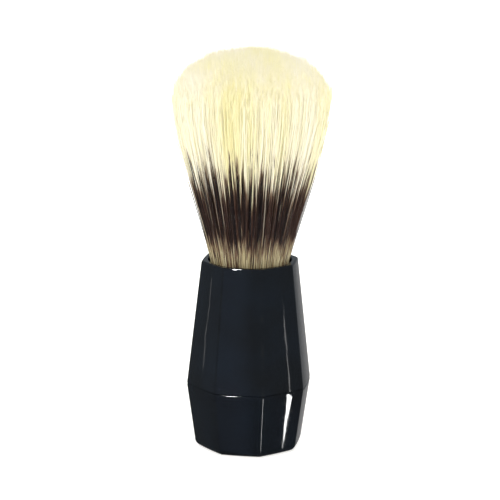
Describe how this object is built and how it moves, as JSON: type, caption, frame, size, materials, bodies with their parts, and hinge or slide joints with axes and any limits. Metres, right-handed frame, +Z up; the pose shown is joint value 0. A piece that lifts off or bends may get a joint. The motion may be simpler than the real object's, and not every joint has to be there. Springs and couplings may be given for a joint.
{
  "type": "shaving brush",
  "caption": "Free-standing shaving brush: a tapered eight-sided gloss handle in two mouldings and a flared, domed bristle knot that bends and springs back.",
  "frame": {"origin": "centre of the foot, on the surface that the brush stands on", "axes": "+Z up the middle of the brush, from the foot to the bristle tips; two of the eight sides face +Y and -Y and two face +X and -X"},
  "size_m": [0.0448, 0.0448, 0.115],
  "materials": {
    "handle_gloss": "gloss",
    "cement": "satin",
    "root_resin": "satin",
    "thread": "matte",
    "bristle_root_band": "satin",
    "bristle_dark_band": "satin",
    "bristle_cream": "satin"
  },
  "bodies": {
    "handle": {"handle_upper": "handle_gloss", "handle_base": "handle_gloss", "socket_cement": "cement", "root_plug": "root_resin", "binding_thread": "thread", "bristle_roots": "bristle_root_band"},
    "knot_middle": {"bristle_mid": "bristle_dark_band"},
    "knot_crown": {"bristle_crown": "bristle_cream"}
  },
  "joints": [
    {"name": "knot_bend_front_back", "type": "hinge", "parent": "handle", "child": "knot_middle", "pos_m": [0, 0, 0.0545], "axis": [1, 0, 0], "range_deg": [-25, 25], "stiffness_Nm_per_rad": 0.25},
    {"name": "crown_bend_side", "type": "hinge", "parent": "knot_middle", "child": "knot_crown", "pos_m": [0, 0, 0.0745], "axis": [0, 1, 0], "range_deg": [-30, 30], "stiffness_Nm_per_rad": 0.15}
  ]
}
